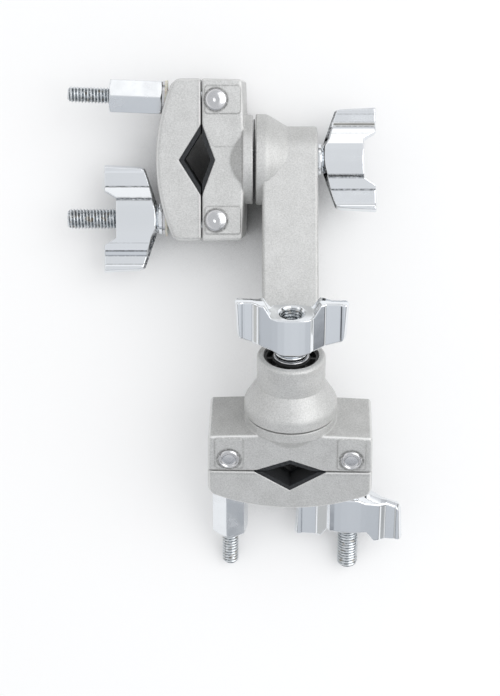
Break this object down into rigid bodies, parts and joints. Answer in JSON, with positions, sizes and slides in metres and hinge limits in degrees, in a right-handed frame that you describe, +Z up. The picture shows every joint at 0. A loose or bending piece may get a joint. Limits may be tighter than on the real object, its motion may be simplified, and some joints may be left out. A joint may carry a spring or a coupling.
{
  "type": "angle clamp",
  "caption": "Cranked cast arm with a swivelling V jaw tube clamp at each end, locked by wing nuts, for joining round tubes at an angle.",
  "frame": {"origin": "middle of the upper V opening, on the parting plane of its jaws and on the upper hub axis", "axes": "+X from the upper jaws to the upper hub; +Y along the jaws, away from the lower clamp; +Z up from the table that the clamp lies on"},
  "size_m": [0.1291, 0.1901, 0.067],
  "materials": {
    "cast_aluminium": "cast and tumbled, fine grained, unpainted",
    "black_rubber": "matte, ribbed",
    "black_plastic": "matte",
    "nylon": "translucent ivory",
    "chrome_plate": "polished die casting with bright plating",
    "bright_steel": "bright plating",
    "zinc_plate": "zinc plating on rolled threads"
  },
  "bodies": {
    "arm": {"arm": "cast_aluminium", "upper_bush": "black_plastic", "lower_bush": "black_plastic"},
    "upper_swivel": {"upper_inner_jaw": "cast_aluminium", "upper_inner_liner": "black_rubber", "upper_hub_bolt": "zinc_plate", "upper_wing_rivet": "bright_steel", "upper_hex_rivet": "bright_steel", "upper_friction_washer": "black_plastic"},
    "upper_outer_jaw": {"upper_outer_jaw": "cast_aluminium", "upper_outer_liner": "black_rubber"},
    "upper_wing_bolt": {"upper_wing_bolt": "zinc_plate"},
    "upper_wing_washers": {"upper_wing_nylon_washer": "nylon", "upper_wing_steel_washer": "zinc_plate"},
    "upper_wing_nut": {"upper_wing_nut": "chrome_plate"},
    "upper_hex_bolt": {"upper_hex_bolt": "zinc_plate"},
    "upper_hex_washers": {"upper_hex_nylon_washer": "nylon", "upper_hex_steel_washer": "zinc_plate"},
    "upper_hex_nut": {"upper_hex_nut": "zinc_plate"},
    "upper_hub_washer": {"upper_hub_washer": "bright_steel"},
    "upper_hub_wing_nut": {"upper_hub_wing_nut": "chrome_plate"},
    "lower_swivel": {"lower_inner_jaw": "cast_aluminium", "lower_inner_liner": "black_rubber", "lower_hub_bolt": "zinc_plate", "lower_wing_rivet": "bright_steel", "lower_hex_rivet": "bright_steel", "lower_friction_washer": "black_plastic"},
    "lower_outer_jaw": {"lower_outer_jaw": "cast_aluminium", "lower_outer_liner": "black_rubber"},
    "lower_wing_bolt": {"lower_wing_bolt": "zinc_plate"},
    "lower_wing_washers": {"lower_wing_nylon_washer": "nylon", "lower_wing_steel_washer": "zinc_plate"},
    "lower_wing_nut": {"lower_wing_nut": "chrome_plate"},
    "lower_hex_bolt": {"lower_hex_bolt": "zinc_plate"},
    "lower_hex_washers": {"lower_hex_nylon_washer": "nylon", "lower_hex_steel_washer": "zinc_plate"},
    "lower_hex_nut": {"lower_hex_nut": "zinc_plate"},
    "lower_hub_washer": {"lower_hub_washer": "bright_steel"},
    "lower_hub_wing_nut": {"lower_hub_wing_nut": "chrome_plate"}
  },
  "joints": [
    {"name": "upper_clamp_swivel", "type": "hinge", "parent": "arm", "child": "upper_swivel", "pos_m": [0, 0, 0], "axis": [1, 0, 0], "continuous": true},
    {"name": "upper_jaw_opening", "type": "slide", "parent": "upper_swivel", "child": "upper_outer_jaw", "axis": [-1, 0, 0], "range_m": [0, 0.012]},
    {"name": "upper_wing_bolt_swing", "type": "hinge", "parent": "upper_swivel", "child": "upper_wing_bolt", "pos_m": [0.0055, -0.02266, -0.0025], "axis": [0, -0.1097, 0.994], "range_deg": [0, 75]},
    {"name": "upper_wing_washers_slide", "type": "slide", "parent": "upper_wing_bolt", "child": "upper_wing_washers", "axis": [-1, 0, 0], "range_m": [0, 0.0121]},
    {"name": "upper_wing_nut_turn", "type": "hinge", "parent": "upper_wing_washers", "child": "upper_wing_nut", "pos_m": [-0.0195, -0.02266, -0.0025], "axis": [-1, 0, 0], "range_deg": [0, 3456]},
    {"name": "upper_hex_bolt_swing", "type": "hinge", "parent": "upper_swivel", "child": "upper_hex_bolt", "pos_m": [0.0055, 0.02266, 0.0025], "axis": [0, 0.1097, -0.994], "range_deg": [-2.2, 72.8]},
    {"name": "upper_hex_washers_slide", "type": "slide", "parent": "upper_hex_bolt", "child": "upper_hex_washers", "axis": [-0.9993, 0.0382, 0.0042], "range_m": [0, 0.0121]},
    {"name": "upper_hex_nut_turn", "type": "hinge", "parent": "upper_hex_washers", "child": "upper_hex_nut", "pos_m": [-0.01948, 0.02362, 0.00261], "axis": [-0.9993, 0.0382, 0.0042], "range_deg": [0, 3456]},
    {"name": "upper_hub_washer_slide", "type": "slide", "parent": "upper_swivel", "child": "upper_hub_washer", "axis": [1, 0, 0], "range_m": [0, 0.0059]},
    {"name": "upper_hub_wing_nut_turn", "type": "hinge", "parent": "upper_hub_washer", "child": "upper_hub_wing_nut", "pos_m": [0.04417, 0, 0], "axis": [1, 0, 0], "range_deg": [0, 1700]},
    {"name": "lower_clamp_swivel", "type": "hinge", "parent": "arm", "child": "lower_swivel", "pos_m": [0.03359, -0.11219, 0.01218], "axis": [0, 0.8526, 0.5225], "continuous": true},
    {"name": "lower_jaw_opening", "type": "slide", "parent": "lower_swivel", "child": "lower_outer_jaw", "axis": [0, -0.8526, -0.5225], "range_m": [0, 0.012]},
    {"name": "lower_wing_bolt_swing", "type": "hinge", "parent": "lower_swivel", "child": "lower_wing_bolt", "pos_m": [0.05639, -0.10777, 0.01549], "axis": [-0.0227, -0.5224, 0.8524], "range_deg": [0, 75]},
    {"name": "lower_wing_washers_slide", "type": "slide", "parent": "lower_wing_bolt", "child": "lower_wing_washers", "axis": [0, -0.8526, -0.5225], "range_m": [0, 0.0121]},
    {"name": "lower_wing_nut_turn", "type": "hinge", "parent": "lower_wing_washers", "child": "lower_wing_nut", "pos_m": [0.05639, -0.12909, 0.00243], "axis": [0, -0.8526, -0.5225], "range_deg": [0, 3456]},
    {"name": "lower_hex_bolt_swing", "type": "hinge", "parent": "lower_swivel", "child": "lower_hex_bolt", "pos_m": [0.0108, -0.10723, 0.01461], "axis": [0.0227, 0.5224, -0.8524], "range_deg": [0, 75]},
    {"name": "lower_hex_washers_slide", "type": "slide", "parent": "lower_hex_bolt", "child": "lower_hex_washers", "axis": [0, -0.8526, -0.5225], "range_m": [0, 0.0121]},
    {"name": "lower_hex_nut_turn", "type": "hinge", "parent": "lower_hex_washers", "child": "lower_hex_nut", "pos_m": [0.0108, -0.12855, 0.00155], "axis": [0, -0.8526, -0.5225], "range_deg": [0, 3456]},
    {"name": "lower_hub_washer_slide", "type": "slide", "parent": "lower_swivel", "child": "lower_hub_washer", "axis": [0, 0.8526, 0.5225], "range_m": [0, 0.0059]},
    {"name": "lower_hub_wing_nut_turn", "type": "hinge", "parent": "lower_hub_washer", "child": "lower_hub_wing_nut", "pos_m": [0.03359, -0.07497, 0.03499], "axis": [0, 0.8526, 0.5225], "range_deg": [0, 1700]}
  ],
  "couplings": [
    {"joint": "upper_wing_washers_slide", "follows": "upper_jaw_opening", "ratio": 1},
    {"joint": "upper_hex_washers_slide", "follows": "upper_jaw_opening", "ratio": 1},
    {"joint": "upper_wing_nut_turn", "follows": "upper_jaw_opening", "rad_per_m": 5026.5},
    {"joint": "upper_hex_nut_turn", "follows": "upper_jaw_opening", "rad_per_m": 4947.4},
    {"joint": "upper_hub_wing_nut_turn", "follows": "upper_hub_washer_slide", "rad_per_m": 5026.5},
    {"joint": "lower_wing_washers_slide", "follows": "lower_jaw_opening", "ratio": 1},
    {"joint": "lower_hex_washers_slide", "follows": "lower_jaw_opening", "ratio": 1},
    {"joint": "lower_wing_nut_turn", "follows": "lower_jaw_opening", "rad_per_m": 5026.5},
    {"joint": "lower_hex_nut_turn", "follows": "lower_jaw_opening", "rad_per_m": 4947.4},
    {"joint": "lower_hub_wing_nut_turn", "follows": "lower_hub_washer_slide", "rad_per_m": 5026.5}
  ]
}
